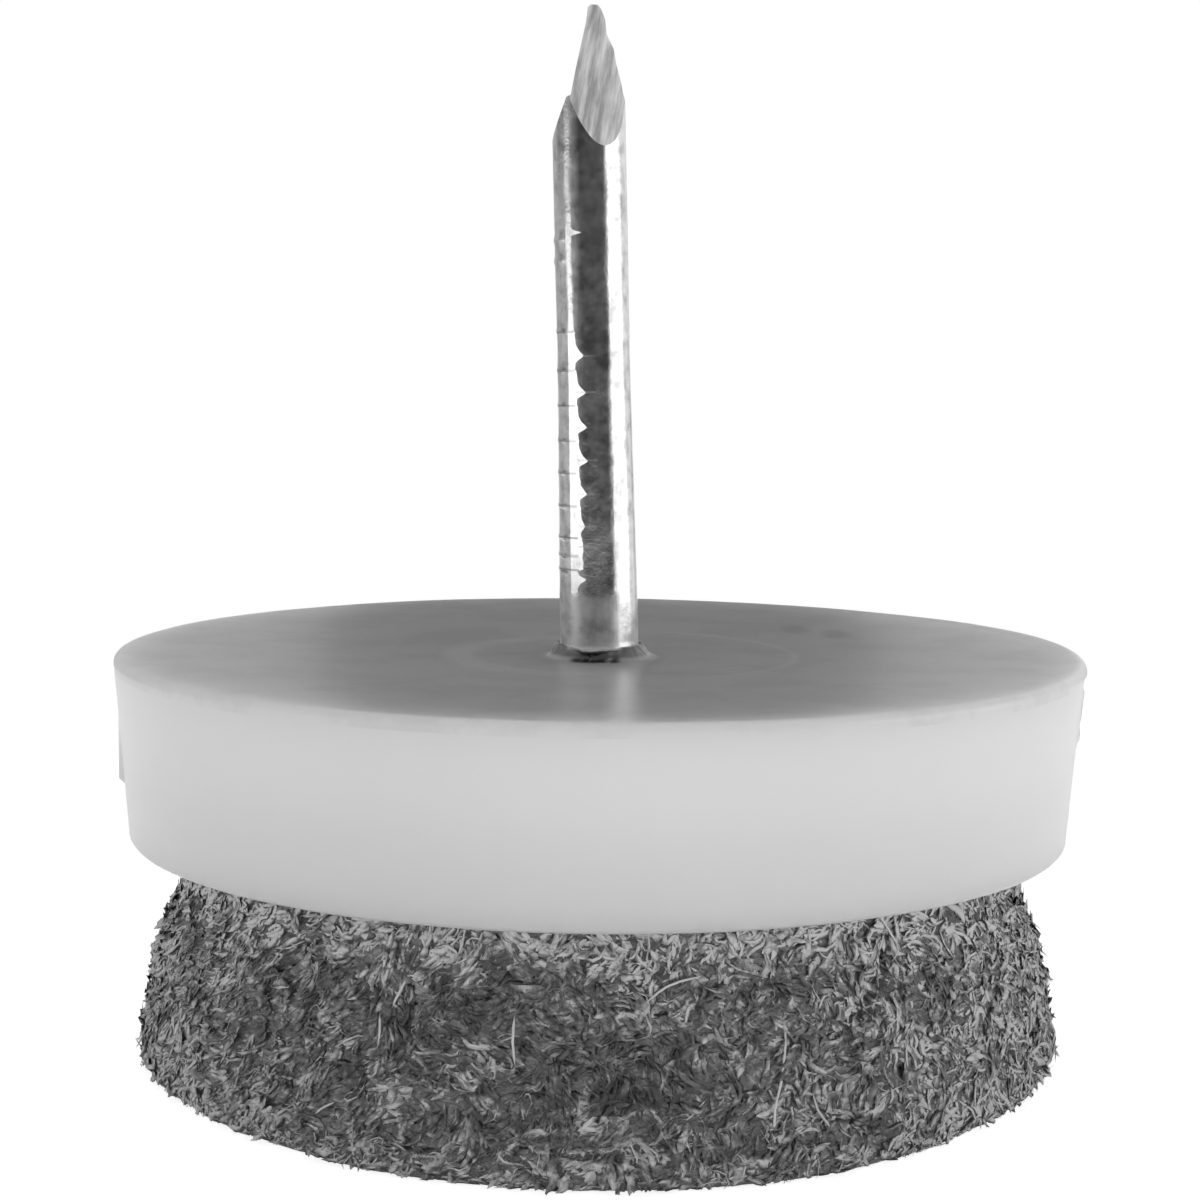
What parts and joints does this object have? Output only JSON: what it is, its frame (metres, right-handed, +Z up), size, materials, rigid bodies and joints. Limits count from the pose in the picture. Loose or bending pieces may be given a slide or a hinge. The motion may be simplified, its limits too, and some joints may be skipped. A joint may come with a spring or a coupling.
{
  "type": "felt furniture glide",
  "caption": "Nail-on furniture glide: a round plastic base with a thick felt pad glued into its underside, hammered into the end of a wooden leg.",
  "frame": {"origin": "middle of the face of the felt that rests on the floor", "axes": "+Z up, from the floor towards the tip of the nail; the nail leans 1.8 degrees towards -X"},
  "size_m": [0.028, 0.028, 0.0302],
  "materials": {
    "plated_steel": "bright zinc plated wire with die marks",
    "white_plastic": "natural white moulded plastic, satin",
    "adhesive": "cloudy film of hot-melt glue",
    "grey_felt": "dense marl wool felt with loose fibres"
  },
  "bodies": {
    "root": {"nail": "plated_steel", "plastic_base": "white_plastic", "adhesive_layer": "adhesive", "felt_pad": "grey_felt"}
  },
  "joints": []
}
